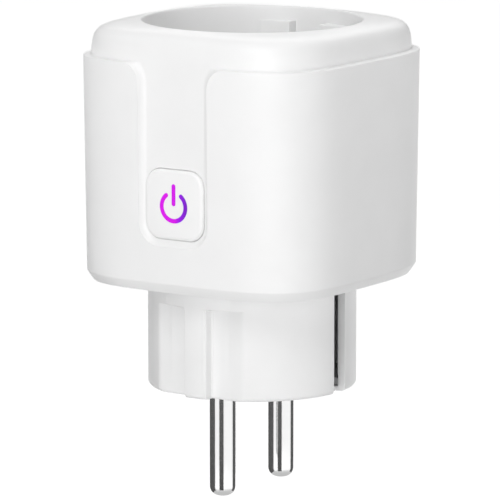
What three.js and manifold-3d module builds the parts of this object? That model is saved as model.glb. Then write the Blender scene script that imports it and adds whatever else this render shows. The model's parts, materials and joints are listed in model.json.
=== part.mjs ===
// Compact plug-in power meter for a round earthed mains socket, as an assembly of its real pieces.
//
// Millimetres, +Z up. The origin is the middle of the plug face, the flat underside of the neck that
// meets the floor of the wall socket. The pins point down, the button faces -Y, the earth clips are
// on +X and -X. A gap of 0.3 mm is kept wherever two pieces rest on each other.

import * as THREE from 'three';
import * as BufferGeometryUtils from 'three/addons/utils/BufferGeometryUtils.js';
import Module from 'manifold-3d';

const wasm = await Module();
wasm.setup();

// ---------------------------------------------------------------- driving dimensions

const GAP = 0.3;

// Plug side: two 4.8 mm pins at 19 mm, as every 16 A plug of this pattern has.
const PIN_RADIUS = 2.4;
const PIN_LENGTH = 19;
const PIN_SPACING = 19;
const PIN_TIP_ROUND = 1.6;
const PIN_Y = PIN_SPACING / 2;

const NECK_RADIUS = 18.7;
const NECK_HEIGHT = 19.7;
const NECK_EDGE = 0.8;
const NECK_WALL = 1.5;
const NECK_FLOOR = 2;
const GUIDE_FLAT_Y = 16.4;
const GUIDE_TOP_Z = 16.2;
const GUIDE_RIB_HALF = 2.3;
const GUIDE_RIB_Y = 18.5;
const EARTH_SLOT_HALF = 1.8;
const EARTH_SLOT_TOP = 18.6;

// Housing: four slightly convex sides, a superellipse in plan.
const SQUARENESS = 4;
const UNDERSIDE_Z = NECK_HEIGHT;
const CHAMFER_Z = 21.5;
const CHAMFER_INSET = 0.9;
const HALF_LOW = 25.1;
const LEDGE_Z = 60.1;
const HALF_HIGH = 25.5;
const SHELL_INNER = 23.9;
const SHELL_FLOOR = 1.5;

const CAP_HALF = 24.3;
const RIM_Z = 65.85;
const WELL_RADIUS = 19.5;
const WELL_WALL = 1.4;
const WELL_FLOOR_Z = 47.8;
const WELL_FLOOR = 1.5;
const PIN_HOLE_RADIUS = 3;
const LAND_Y = 17;
const LAND_INNER_X = 3.2;
const LAND_OUTER_X = 10;
const LAND_TOP_Z = 63.2;
const CLIP_SLOT_HALF = 2.8;
const CLIP_SLOT_TOP = 60.6;

// Front stripe and button.
const STRIPE_HALF = 7.3;
const STRIPE_BOTTOM = 28.15;
const STRIPE_CORNER = 4;
const STRIPE_FLARE = 3.6;
const BUTTON_Z = 35.6;
const BUTTON_HALF = 6.05;
const BUTTON_CORNER = 3;
const BUTTON_FACE_Y = -24.9;
const ICON_RADIUS = 2.5;
const ICON_STROKE = 0.8;
const ICON_GAP = THREE.MathUtils.degToRad(38);
const ICON_Z = 35.3;
const SWITCH_Z = 32.2;
const SWITCH_PLUNGER_Y = -20.9;
const CONTROL_BOARD_Y = -17.6;

// Inside.
const FLANGE_HALF = 23.3;
const FLANGE_TOP = 23;
const BOARD_HALF = 22.2;
const BOARD_Z = 25;
const BOARD_THICK = 1.6;
const POST_XY = 17.2;
const DECK_Z = BOARD_Z + BOARD_THICK + GAP;
const BLOCK_LOW = 33;
const BLOCK_TOP = 44;
const SHUTTER_LOW = BLOCK_TOP + 0.4;
const SHUTTER_TOP = WELL_FLOOR_Z - WELL_FLOOR - GAP;
const STRIP = 0.8;

// ---------------------------------------------------------------- helpers

function solid(geometry) {
  const bare = geometry.clone();
  bare.deleteAttribute('normal');
  bare.deleteAttribute('uv');
  const merged = BufferGeometryUtils.mergeVertices(bare, 1e-4);
  return new wasm.Manifold(new wasm.Mesh({
    numProp: 3,
    vertProperties: new Float32Array(merged.attributes.position.array),
    triVerts: new Uint32Array(merged.index.array),
  }));
}

function box(x0, x1, y0, y1, z0, z1) {
  const geometry = new THREE.BoxGeometry(x1 - x0, y1 - y0, z1 - z0);
  geometry.translate((x0 + x1) / 2, (y0 + y1) / 2, (z0 + z1) / 2);
  return solid(geometry);
}

function cylinder(radius, z0, z1, x = 0, y = 0, sides = 32) {
  const geometry = new THREE.CylinderGeometry(radius, radius, z1 - z0, sides);
  geometry.rotateX(Math.PI / 2);
  geometry.translate(x, y, (z0 + z1) / 2);
  return solid(geometry);
}

function cylinderAlongY(radius, y0, y1, x, z, sides = 24) {
  const geometry = new THREE.CylinderGeometry(radius, radius, y1 - y0, sides);
  geometry.translate(x, (y0 + y1) / 2, z);
  return solid(geometry);
}

function lathe(profile, sides = 32) {
  const points = profile.map(([radius, z]) => new THREE.Vector2(radius, z));
  const geometry = new THREE.LatheGeometry(points, sides);
  geometry.rotateX(Math.PI / 2);
  return solid(geometry);
}

// A shape drawn in X and Z, given its thickness along Y.
function extrudeY(shape, y0, y1, curveSegments = 6) {
  const geometry = new THREE.ExtrudeGeometry(shape, {
    depth: y1 - y0, bevelEnabled: false, curveSegments,
  });
  geometry.rotateX(Math.PI / 2);
  geometry.translate(0, y1, 0);
  return solid(geometry);
}

function roundedRectangle(halfX, halfZ, corner, centreX = 0, centreZ = 0) {
  const shape = new THREE.Shape();
  const right = centreX + halfX;
  const top = centreZ + halfZ;
  const left = centreX - halfX;
  const bottom = centreZ - halfZ;
  shape.moveTo(left + corner, bottom);
  shape.lineTo(right - corner, bottom);
  shape.absarc(right - corner, bottom + corner, corner, -Math.PI / 2, 0, false);
  shape.lineTo(right, top - corner);
  shape.absarc(right - corner, top - corner, corner, 0, Math.PI / 2, false);
  shape.lineTo(left + corner, top);
  shape.absarc(left + corner, top - corner, corner, Math.PI / 2, Math.PI, false);
  shape.lineTo(left, bottom + corner);
  shape.absarc(left + corner, bottom + corner, corner, Math.PI, Math.PI * 1.5, false);
  return shape;
}

// Plan outline of the housing for a given half width.
function housingOutline(half, points = 56) {
  const outline = [];
  for (let index = 0; index < points; index += 1) {
    const angle = (index / points) * Math.PI * 2;
    const spread = Math.abs(Math.cos(angle)) ** SQUARENESS + Math.abs(Math.sin(angle)) ** SQUARENESS;
    const reach = half / spread ** (1 / SQUARENESS);
    outline.push(new THREE.Vector2(reach * Math.cos(angle), reach * Math.sin(angle)));
  }
  return new THREE.Shape(outline);
}

// A housing shape that changes its half width from level to level: each station is [z, half].
function housingSolid(stations) {
  const steps = stations.length - 1;
  const geometry = new THREE.ExtrudeGeometry(housingOutline(1), {
    depth: steps, steps, bevelEnabled: false,
  });
  const position = geometry.attributes.position;
  for (let index = 0; index < position.count; index += 1) {
    const [z, half] = stations[Math.round(position.getZ(index))];
    position.setXYZ(index, position.getX(index) * half, position.getY(index) * half, z);
  }
  return solid(geometry);
}

// A bent strip of constant thickness: the centre line is drawn in X and Z, the width lies along Y.
function bentStrip(line, thickness, y0, y1) {
  const points = line.map(([x, z]) => new THREE.Vector2(x, z));
  const left = [];
  const right = [];
  points.forEach((point, index) => {
    const before = points[Math.max(index - 1, 0)];
    const after = points[Math.min(index + 1, points.length - 1)];
    const into = point.clone().sub(before).normalize();
    const out = after.clone().sub(point).normalize();
    const along = into.clone().add(out).normalize();
    const normal = new THREE.Vector2(-along.y, along.x);
    const single = into.length() < 0.5 ? out : into;
    const stretch = 1 / Math.max(Math.abs(along.dot(single)), 0.4);
    left.push(point.clone().addScaledVector(normal, (thickness / 2) * stretch));
    right.push(point.clone().addScaledVector(normal, (-thickness / 2) * stretch));
  });
  return extrudeY(new THREE.Shape([...left, ...right.reverse()]), y0, y1);
}

function mirrorX(piece) {
  return piece.mirror([1, 0, 0]);
}

function mirrorY(piece) {
  return piece.mirror([0, 1, 0]);
}

function union(...pieces) {
  return pieces.reduce((whole, piece) => whole.add(piece));
}

function finish(color, roughness, metalness = 0) {
  return () => new THREE.MeshStandardMaterial({ color, roughness, metalness });
}

const whitePlastic = finish('#f2f2f1', 0.42);
const buttonPlastic = finish('#f4f4f4', 0.38);
const innerPlastic = finish('#e2e0da', 0.55);
const glowingLens = finish('#c010e8', 0.3);
const nickel = finish('#d9dadb', 0.16, 1);
const springSteel = finish('#bcbfc2', 0.3, 1);
const brass = finish('#c9a24e', 0.34, 1);
const copperWire = finish('#a85f30', 0.45, 0.8);
const ironCore = finish('#8f9194', 0.5, 1);
const boardGreen = finish('#1f5a3c', 0.5);
const boardBlack = finish('#22252a', 0.5);
const chipBlack = finish('#1b1c1e', 0.6);
const relayBlue = finish('#2d5f9e', 0.4);
const foilSleeve = finish('#2a2c33', 0.45);
const filmYellow = finish('#c9a53a', 0.5);
const discBlue = finish('#2f6fae', 0.5);
const ceramicGreen = finish('#5d8a6a', 0.6);
const tinPlate = finish('#c6c8ca', 0.35, 1);
const clearEpoxy = finish('#e8ecf2', 0.2);

const group = new THREE.Group();

function add(name, piece, material) {
  const mesh = piece.getMesh();
  const geometry = new THREE.BufferGeometry();
  geometry.setAttribute('position', new THREE.BufferAttribute(new Float32Array(mesh.vertProperties), 3));
  geometry.setIndex(new THREE.BufferAttribute(new Uint32Array(mesh.triVerts), 1));
  geometry.computeVertexNormals();
  const node = new THREE.Mesh(geometry, material());
  node.name = name;
  group.add(node);
}

// ---------------------------------------------------------------- housing

// Opening in the front wall: square-cut stripe with round lower corners that flares at the ledge.
function stripeShape(half, bottom, top, flare) {
  const shape = new THREE.Shape();
  const corner = STRIPE_CORNER;
  shape.moveTo(-half + corner, bottom);
  shape.lineTo(half - corner, bottom);
  shape.absarc(half - corner, bottom + corner, corner, -Math.PI / 2, 0, false);
  if (flare > 0) {
    shape.lineTo(half, LEDGE_Z - flare);
    shape.absarc(half + flare, LEDGE_Z - flare, flare, Math.PI, Math.PI / 2, true);
    shape.lineTo(half + flare, top);
    shape.lineTo(-half - flare, top);
    shape.lineTo(-half - flare, LEDGE_Z);
    shape.absarc(-half - flare, LEDGE_Z - flare, flare, Math.PI / 2, 0, true);
  } else {
    shape.lineTo(half, top);
    shape.lineTo(-half, top);
  }
  shape.lineTo(-half, bottom + corner);
  shape.absarc(-half + corner, bottom + corner, corner, Math.PI, Math.PI * 1.5, false);
  return shape;
}

function outerShell() {
  const outside = housingSolid([
    [UNDERSIDE_Z, HALF_LOW - CHAMFER_INSET], [CHAMFER_Z, HALF_LOW], [LEDGE_Z, HALF_HIGH],
  ]);
  const inside = housingSolid([[UNDERSIDE_Z + SHELL_FLOOR, SHELL_INNER], [LEDGE_Z + 1, SHELL_INNER]]);
  const neckHole = cylinder(NECK_RADIUS + GAP, UNDERSIDE_Z - 1, CHAMFER_Z + 1, 0, 0, 48);
  const stripe = extrudeY(stripeShape(STRIPE_HALF, STRIPE_BOTTOM, LEDGE_Z + 1, STRIPE_FLARE), -30, -20);
  return outside.subtract(inside).subtract(neckHole).subtract(stripe);
}

function wellLands() {
  const wall = cylinder(WELL_RADIUS + 0.6, WELL_FLOOR_Z - 0.5, LAND_TOP_Z, 0, 0, 64);
  const rear = box(LAND_INNER_X, LAND_OUTER_X, LAND_Y, WELL_RADIUS + 1, WELL_FLOOR_Z - 0.5, LAND_TOP_Z);
  const land = rear.intersect(wall);
  return union(land, mirrorX(land), mirrorY(land), mirrorX(mirrorY(land)));
}

function socketCap() {
  const skirtHalf = SHELL_INNER - GAP;
  const skirtLow = 50;
  const crown = housingSolid([
    [LEDGE_Z + GAP, CAP_HALF], [62.2, CAP_HALF - 0.1], [63.6, CAP_HALF - 0.35], [64.6, CAP_HALF - 0.9],
    [65.3, CAP_HALF - 1.7], [65.7, CAP_HALF - 2.6], [RIM_Z, CAP_HALF - 4.1],
  ]);
  const skirt = housingSolid([[skirtLow, skirtHalf], [LEDGE_Z + 1, skirtHalf]]);
  const hollow = housingSolid([[skirtLow - 1, 22.3], [63.2, 22.3], [63.8, 21.6]]);
  const collar = cylinder(WELL_RADIUS + WELL_WALL, WELL_FLOOR_Z - WELL_FLOOR, 65, 0, 0, 64);
  const bore = cylinder(WELL_RADIUS, WELL_FLOOR_Z, RIM_Z + 1, 0, 0, 64);
  const panel = box(-9, 9, -skirtHalf, -22.6, 27.3, 58);
  const stripe = stripeShape(STRIPE_HALF - GAP, STRIPE_BOTTOM + GAP, LEDGE_Z + 2, 0);
  const land = extrudeY(stripe, -CAP_HALF, -22.6);
  const buttonHole = extrudeY(
    roundedRectangle(BUTTON_HALF + GAP, BUTTON_HALF + 0.15 + GAP, BUTTON_CORNER + GAP, 0, BUTTON_Z), -26, -21,
  );
  let cap = union(crown, skirt).subtract(hollow);
  cap = union(cap, collar, panel, land).subtract(bore).add(wellLands()).subtract(buttonHole);
  for (const side of [-1, 1]) {
    const pinHole = cylinder(PIN_HOLE_RADIUS, WELL_FLOOR_Z - 3, WELL_FLOOR_Z + 1, 0, side * PIN_Y, 24);
    const near = side * 16.2;
    const far = side * 22.2;
    const clipSlot = box(
      Math.min(near, far), Math.max(near, far), -CLIP_SLOT_HALF, CLIP_SLOT_HALF,
      WELL_FLOOR_Z - 3, CLIP_SLOT_TOP,
    );
    cap = cap.subtract(pinHole).subtract(clipSlot);
  }
  return cap;
}

function plugBase() {
  const edge = [];
  const edgeSteps = 3;
  for (let step = 0; step <= edgeSteps; step += 1) {
    const angle = (step / edgeSteps) * (Math.PI / 2);
    const radius = NECK_RADIUS - NECK_EDGE + NECK_EDGE * Math.sin(angle);
    edge.push([radius, NECK_EDGE - NECK_EDGE * Math.cos(angle)]);
  }
  const neck = lathe([[0, 0], ...edge, [NECK_RADIUS, 22], [0, 22]], 72);
  const flange = housingSolid([[CHAMFER_Z, FLANGE_HALF], [FLANGE_TOP, FLANGE_HALF]]);
  let base = union(neck, flange);

  // Guide recesses front and rear, each with its middle rib.
  for (const side of [-1, 1]) {
    const inner = side * GUIDE_FLAT_Y;
    const outer = side * (NECK_RADIUS + 1);
    const recess = box(-12, 12, Math.min(inner, outer), Math.max(inner, outer), -1, GUIDE_TOP_Z);
    const ribEnd = side * GUIDE_RIB_Y;
    const rib = box(
      -GUIDE_RIB_HALF, GUIDE_RIB_HALF, Math.min(inner, ribEnd), Math.max(inner, ribEnd), -2, GUIDE_TOP_Z + 1,
    );
    base = base.subtract(recess.subtract(rib));
  }

  // Hollow neck: round above the guides, flat-sided behind them.
  const hollowRadius = NECK_RADIUS - NECK_WALL;
  const flatSided = cylinder(hollowRadius, NECK_FLOOR, 24, 0, 0, 48)
    .intersect(box(-20, 20, 2 - GUIDE_FLAT_Y, GUIDE_FLAT_Y - 2, NECK_FLOOR, 24));
  const roundPart = cylinder(hollowRadius, GUIDE_TOP_Z + 2, 24, 0, 0, 48);
  base = base.subtract(union(flatSided, roundPart));

  for (const side of [-1, 1]) {
    const near = side * (hollowRadius - 1);
    const far = side * (NECK_RADIUS + 1);
    const slot = box(
      Math.min(near, far), Math.max(near, far), -EARTH_SLOT_HALF, EARTH_SLOT_HALF, -1, EARTH_SLOT_TOP,
    );
    const wide = side * (hollowRadius - 4);
    const pocket = box(Math.min(near, wide), Math.max(near, wide), -3.4, 3.4, 0.8, NECK_FLOOR + 1);
    base = base.subtract(union(slot, pocket));
    base = base.subtract(cylinder(PIN_RADIUS + GAP, -1, 3, 0, side * PIN_Y, 24));
  }
  for (const x of [-POST_XY, POST_XY]) {
    for (const y of [-POST_XY, POST_XY]) {
      base = base.add(cylinder(2.6, FLANGE_TOP - 0.5, BOARD_Z - GAP, x, y, 20));
      base = base.subtract(cylinder(1.1, 22.2, 26, x, y, 12));
    }
  }
  return base;
}

add('outer_shell', outerShell(), whitePlastic);
add('socket_cap', socketCap(), whitePlastic);
add('plug_base', plugBase(), whitePlastic);

// ---------------------------------------------------------------- pins, contacts and earth path

function mainsPin() {
  const tip = [];
  const tipSteps = 5;
  for (let step = 0; step <= tipSteps; step += 1) {
    const angle = (step / tipSteps) * (Math.PI / 2);
    const radius = PIN_RADIUS - PIN_TIP_ROUND + PIN_TIP_ROUND * Math.sin(angle);
    tip.push([radius, -PIN_LENGTH + PIN_TIP_ROUND - PIN_TIP_ROUND * Math.cos(angle)]);
  }
  const collarLow = NECK_FLOOR + GAP;
  const collarTop = collarLow + 2;
  const stemTop = DECK_Z + 0.9;
  return lathe([
    [0, -PIN_LENGTH], ...tip, [PIN_RADIUS, collarLow], [3.8, collarLow], [3.8, collarTop],
    [1.5, collarTop], [1.5, stemTop], [0, stemTop],
  ], 28);
}

function earthStrip() {
  const neckX = 15.6;
  const riserX = 21.7;
  const bendZ = FLANGE_TOP + 1;
  return bentStrip([[neckX, 1.5], [neckX, bendZ], [riserX, bendZ], [riserX, 38]], STRIP, -1.5, 1.5);
}

// Sprung clip: a back leg in the wall of the well, a hairpin bend and a nose that bears on the plug.
function earthClip() {
  return bentStrip([
    [20.6, 34], [20.6, 58.6], [20.2, 59.5], [19.3, 59.9], [18.5, 59.3], [17.2, 55.5],
    [16.5, 53.8], [16.7, 52.4], [18.3, 49.6],
  ], STRIP, -2.2, 2.2);
}

// Twin-leaf female contact with a solder tail.
function socketContact() {
  const leafLow = BLOCK_LOW + 0.8;
  const leaf = [
    [0, leafLow], [2.4, leafLow], [2.8, leafLow + 1.5], [2.3, leafLow + 5.6], [3.1, BLOCK_TOP - 0.6],
  ];
  const half = bentStrip(leaf, 0.6, PIN_Y - 2.4, PIN_Y + 2.4);
  const bottom = box(-2.4, 2.4, PIN_Y - 2.4, PIN_Y + 3.2, leafLow - 0.3, leafLow + 0.3);
  const tail = box(-1.5, 1.5, PIN_Y + 2.5, PIN_Y + 3.2, BOARD_Z - 0.9, leafLow + 0.3);
  return union(half, mirrorX(half), bottom, tail);
}

function contactBlock() {
  let block = box(-7.4, 7.4, -15, 15, BLOCK_LOW, BLOCK_TOP);
  for (const side of [-1, 1]) {
    const pocket = box(-3.8, 3.8, 6.4, 13.3, BLOCK_LOW - 1, BLOCK_TOP + 1);
    block = block.subtract(side < 0 ? mirrorY(pocket) : pocket);
    const arm = box(7, 17, -3, 3, BLOCK_TOP - 2.4, BLOCK_TOP);
    const ear = box(14.6, 17, -3, 3, BLOCK_TOP - 1, SHUTTER_TOP);
    const bracket = union(arm, ear);
    block = block.add(side < 0 ? mirrorX(bracket) : bracket);
  }
  const springPocket = cylinder(4.4, BLOCK_TOP - 1.8, BLOCK_TOP + 1, 0, 0, 28);
  return block.subtract(springPocket).add(cylinder(1.4, BLOCK_TOP - 2, SHUTTER_TOP, 0, 0, 20));
}

// Rotating child guard: two pads cover the pin holes until both are pushed aside together.
function shutter() {
  const hub = cylinder(3.4, SHUTTER_LOW, SHUTTER_TOP, 0, 0, 28);
  const arm = box(-2, 2, -PIN_Y, PIN_Y, SHUTTER_LOW, SHUTTER_TOP);
  const pads = [-1, 1].map((side) => cylinder(3.5, SHUTTER_LOW, SHUTTER_TOP, 0, side * PIN_Y, 28));
  return union(hub, arm, ...pads).subtract(cylinder(1.7, SHUTTER_LOW - 1, SHUTTER_TOP + 1, 0, 0, 20));
}

class Helix extends THREE.Curve {
  constructor(radius, low, high, turns) {
    super();
    this.radius = radius;
    this.low = low;
    this.high = high;
    this.turns = turns;
  }

  getPoint(t, target = new THREE.Vector3()) {
    const angle = t * this.turns * Math.PI * 2;
    const z = this.low + (this.high - this.low) * t;
    return target.set(this.radius * Math.cos(angle), this.radius * Math.sin(angle), z);
  }
}

function shutterSpring() {
  const wire = 0.2;
  const section = new THREE.Shape(new THREE.EllipseCurve(0, 0, wire, wire).getPoints(6).slice(0, 6));
  const path = new Helix(2.6, BLOCK_TOP - 1.4, BLOCK_TOP - 0.1, 2);
  return solid(new THREE.ExtrudeGeometry(section, { steps: 32, bevelEnabled: false, extrudePath: path }));
}

const pin = mainsPin();
add('pin_live', pin.translate([0, -PIN_Y, 0]), nickel);
add('pin_neutral', pin.translate([0, PIN_Y, 0]), nickel);
add('earth_strip_right', earthStrip(), nickel);
add('earth_strip_left', mirrorX(earthStrip()), nickel);
add('earth_cross_strap', box(-14.9, 14.9, -1.5, 1.5, 20, 20 + STRIP), nickel);
add('earth_clip_right', earthClip(), nickel);
add('earth_clip_left', mirrorX(earthClip()), nickel);
add('contact_block', contactBlock(), innerPlastic);
add('socket_contact_neutral', socketContact(), brass);
add('socket_contact_live', mirrorY(socketContact()), brass);
add('shutter', shutter(), innerPlastic);
add('shutter_spring', shutterSpring(), springSteel);

// ---------------------------------------------------------------- button, light guide and switch

// Power symbol: an open ring with a bar, drawn in X and Z. grow widens every stroke.
function iconSolid(y0, y1, grow) {
  const half = ICON_STROKE / 2 + grow;
  const start = Math.PI / 2 + ICON_GAP;
  const end = Math.PI / 2 - ICON_GAP + Math.PI * 2;
  const ring = new THREE.Shape();
  ring.absarc(0, ICON_Z, ICON_RADIUS + half, start, end, false);
  ring.absarc(0, ICON_Z, ICON_RADIUS - half, end, start, true);
  const bar = roundedRectangle(half, 1.95 + grow, half * 0.9, 0, 37.4);
  return [extrudeY(ring, y0, y1, 24), extrudeY(bar, y0, y1, 3)];
}

function powerButton() {
  const faceBack = BUTTON_FACE_Y + 1.4;
  const flangeFront = -22.6 + GAP;
  const flangeBack = flangeFront + 0.8;
  const outline = (grow) => roundedRectangle(
    BUTTON_HALF + grow, BUTTON_HALF + 0.15 + grow, BUTTON_CORNER + grow, 0, BUTTON_Z,
  );
  let button = extrudeY(outline(0), BUTTON_FACE_Y, flangeBack);
  button = button.add(extrudeY(outline(0.9), flangeFront, flangeBack));
  button = button.subtract(extrudeY(outline(-1), faceBack, flangeBack + 1));
  for (const stroke of iconSolid(BUTTON_FACE_Y - 1, faceBack + 1, GAP)) {
    button = button.subtract(stroke);
  }
  // Finger that reaches the switch, on a bridge across the lower edge.
  button = button.add(box(-1.2, 1.2, flangeFront, flangeBack, 29.2, 32.6));
  return button.add(cylinderAlongY(1.1, flangeFront, SWITCH_PLUNGER_Y - GAP, 0, SWITCH_Z, 16));
}

function lightGuide() {
  const back = BUTTON_FACE_Y + 1.4 + GAP;
  const plate = extrudeY(roundedRectangle(4.4, 2.9, 0.8, 0, 37.1), back, back + 0.8);
  const lower = extrudeY(roundedRectangle(3.2, 1.1, 0.5, 0, 34.1), back, back + 0.8);
  return union(plate, lower, ...iconSolid(BUTTON_FACE_Y, back + 0.5, 0));
}

function switchBody() {
  const back = CONTROL_BOARD_Y - GAP;
  const body = box(-2.6, 2.6, back - 2, back, SWITCH_Z - 2.6, SWITCH_Z + 2.6);
  return body.subtract(cylinderAlongY(1.3, back - 3, back - 0.8, 0, SWITCH_Z, 20));
}

function led(x) {
  const back = CONTROL_BOARD_Y - GAP;
  return box(x - 0.8, x + 0.8, back - 0.8, back, 37, 38.6);
}

add('power_button', powerButton(), buttonPlastic);
add('icon_light_guide', lightGuide(), glowingLens);
add('switch_body', switchBody(), chipBlack);
add(
  'switch_plunger',
  cylinderAlongY(1, SWITCH_PLUNGER_Y, SWITCH_PLUNGER_Y + 1.4, 0, SWITCH_Z, 20),
  innerPlastic,
);
add('led_blue', led(-1.6), clearEpoxy);
add('led_red', led(1.6), clearEpoxy);

// ---------------------------------------------------------------- boards

function powerBoard() {
  let board = housingSolid([[BOARD_Z, BOARD_HALF], [BOARD_Z + BOARD_THICK, BOARD_HALF]]);
  const below = BOARD_Z - 1;
  const above = BOARD_Z + BOARD_THICK + 1;
  for (const side of [-1, 1]) {
    const near = side * 20.6;
    const far = side * 23;
    board = board.subtract(box(Math.min(near, far), Math.max(near, far), -2.4, 2.4, below, above));
    board = board.subtract(cylinder(1.8, below, above, 0, side * PIN_Y, 20));
    const tailLow = side * (PIN_Y + 2.1);
    const tailHigh = side * (PIN_Y + 3.6);
    board = board.subtract(
      box(-1.9, 1.9, Math.min(tailLow, tailHigh), Math.max(tailLow, tailHigh), below, above),
    );
    for (const front of [-1, 1]) {
      board = board.subtract(cylinder(1.1, below, above, side * POST_XY, front * POST_XY, 12));
    }
  }
  return board;
}

function boardScrew(x, y) {
  const head = cylinder(1.9, DECK_Z, DECK_Z + 1.2, x, y, 20);
  const shank = cylinder(0.8, 22.6, DECK_Z + 0.5, x, y, 12);
  const across = box(x - 1.3, x + 1.3, y - 0.25, y + 0.25, DECK_Z + 0.6, DECK_Z + 2);
  const along = box(x - 0.25, x + 0.25, y - 1.3, y + 1.3, DECK_Z + 0.6, DECK_Z + 2);
  return union(head, shank).subtract(across).subtract(along);
}

add('power_board', powerBoard(), boardGreen);
const boardLow = BOARD_Z + BOARD_THICK + 0.4;
add('control_board', box(-9, 9, CONTROL_BOARD_Y, CONTROL_BOARD_Y + 1.2, boardLow, 45), boardBlack);
add('radio_board', box(-8.5, 8.5, 19, 20, boardLow, 44.5), boardBlack);
let screwNumber = 0;
for (const x of [-POST_XY, POST_XY]) {
  for (const y of [-POST_XY, POST_XY]) {
    screwNumber += 1;
    add(`board_screw_${screwNumber}`, boardScrew(x, y), springSteel);
  }
}

// ---------------------------------------------------------------- relay

const RELAY_X0 = -19.2;
const RELAY_X1 = -9.4;
const RELAY_HALF_Y = 9;
const RELAY_TOP = 40.2;
const RELAY_BASE_TOP = DECK_Z + 1.2;
const COIL_X = (RELAY_X0 + RELAY_X1) / 2;
const COIL_Y = -4.3;
const HINGE_Y = 1.2;
const HINGE_Z = 37.2;

function relayCase() {
  const wall = 0.8;
  const low = RELAY_BASE_TOP + GAP;
  const outside = box(RELAY_X0, RELAY_X1, -RELAY_HALF_Y, RELAY_HALF_Y, low, RELAY_TOP);
  return outside.subtract(box(
    RELAY_X0 + wall, RELAY_X1 - wall, wall - RELAY_HALF_Y, RELAY_HALF_Y - wall, low - 1, RELAY_TOP - wall,
  ));
}

function relayCoil() {
  const low = RELAY_BASE_TOP + GAP;
  const high = 35.9;
  const spool = [
    [1.4, low], [3.6, low], [3.6, low + 0.6], [3.1, low + 0.6], [3.1, high - 0.6], [3.6, high - 0.6],
    [3.6, high], [1.4, high], [1.4, low],
  ];
  return lathe(spool, 24).translate([COIL_X, COIL_Y, 0]);
}

function relayArmature() {
  const plate = box(COIL_X - 2.7, COIL_X + 2.7, -7.6, HINGE_Y + 1.2, HINGE_Z, HINGE_Z + STRIP);
  const leg = box(COIL_X - 2.2, COIL_X + 2.2, HINGE_Y + 0.5, HINGE_Y + 1.2, 32, HINGE_Z + STRIP);
  return union(plate, leg);
}

function contactBlade() {
  const blade = box(COIL_X - 1.8, COIL_X + 1.8, 2.7, 3, 29.6, 36.6);
  return blade.add(cylinderAlongY(1, 2.8, 3.3, COIL_X, 33, 16));
}

function fixedContact() {
  const post = box(COIL_X - 1.8, COIL_X + 1.8, 4.3, 5.1, RELAY_BASE_TOP + GAP, 35.5);
  return post.add(cylinderAlongY(1, 3.85, 4.6, COIL_X, 33, 16));
}

add('relay_base', box(RELAY_X0, RELAY_X1, -RELAY_HALF_Y, RELAY_HALF_Y, DECK_Z, RELAY_BASE_TOP), chipBlack);
add('relay_case', relayCase(), relayBlue);
add('relay_coil', relayCoil(), copperWire);
add('relay_core', cylinder(1.1, RELAY_BASE_TOP + GAP, 36.3, COIL_X, COIL_Y, 20), ironCore);
add('relay_yoke', box(COIL_X - 2.7, COIL_X + 2.7, 0, 1, RELAY_BASE_TOP + GAP, HINGE_Z - GAP), ironCore);
add('relay_armature', relayArmature(), ironCore);
add('relay_contact_blade', contactBlade(), brass);
add('relay_fixed_contact', fixedContact(), brass);

// ---------------------------------------------------------------- supply, metering and radio parts

function drumChoke(x, y) {
  const top = DECK_Z + 8;
  const drum = lathe([
    [0, DECK_Z], [3.4, DECK_Z], [3.4, DECK_Z + 1], [2.9, DECK_Z + 1], [2.9, top - 1], [3.4, top - 1],
    [3.4, top], [0, top],
  ], 24);
  return drum.translate([x, y, 0]);
}

function canCapacitor(x, y) {
  const top = DECK_Z + 11;
  const can = lathe([
    [0, DECK_Z], [2.8, DECK_Z], [3.1, DECK_Z + 0.4], [3.1, DECK_Z + 1.2], [2.9, DECK_Z + 1.5],
    [3.1, DECK_Z + 1.8], [3.1, top - 0.4], [2.8, top], [0, top],
  ], 24);
  return can.translate([x, y, 0]);
}

// Shunt that the current is metered across: an arched strip of resistance alloy.
function shunt() {
  const arch = [[-4.6, DECK_Z], [-4.6, DECK_Z + 3], [4.6, DECK_Z + 3], [4.6, DECK_Z]];
  return bentStrip(arch, STRIP, -1.5, 1.5);
}

function chip(x0, x1, y0, y1, height) {
  return box(x0, x1, y0, y1, DECK_Z, DECK_Z + height);
}

add('film_capacitor', box(9.4, 15.4, -14, -1, DECK_Z, DECK_Z + 11), filmYellow);
add('bulk_capacitor_1', canCapacitor(11, 5.2), foilSleeve);
add('bulk_capacitor_2', canCapacitor(11, 12.4), foilSleeve);
add('choke', drumChoke(17.2, 8.8), ironCore);
add('varistor', cylinderAlongY(3.9, 12.2, 15.2, -13.6, DECK_Z + 4.2, 28), discBlue);
add('fuse_resistor', cylinderAlongY(1.5, -12.4, -3.6, 17.8, DECK_Z + 1.9, 20), ceramicGreen);
add('current_shunt', shunt(), springSteel);
add('metering_chip', chip(-5, 0, 3.4, 7.3, 1.5), chipBlack);
add('converter_chip', chip(1.4, 6.3, -7.2, -3.4, 1.5), chipBlack);
add('bridge_rectifier', chip(-12.4, -7.8, -15.6, -12, 2.2), chipBlack);
add('radio_shield', box(-6.2, 6.2, 16.4, 18.7, 31, 42.5), tinPlate);
add('control_header', box(-4, 4, -16.1, -13.9, DECK_Z, DECK_Z + 2.4), chipBlack);

export default group;
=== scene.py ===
# %% [markdown]
# # A plug-in power meter
#
# The object is a white block, 51 mm square, that plugs into a round earthed wall socket and offers
# the same kind of socket on top. A lit button on the front switches the load, and the electronics
# inside measure it. The CAD model already fixes every size and every joint. This lesson gives the
# visible pieces the surfaces that moulds, presses and plating would give them, and rides each one on
# the CAD body it belongs to.

import json
import math

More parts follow.
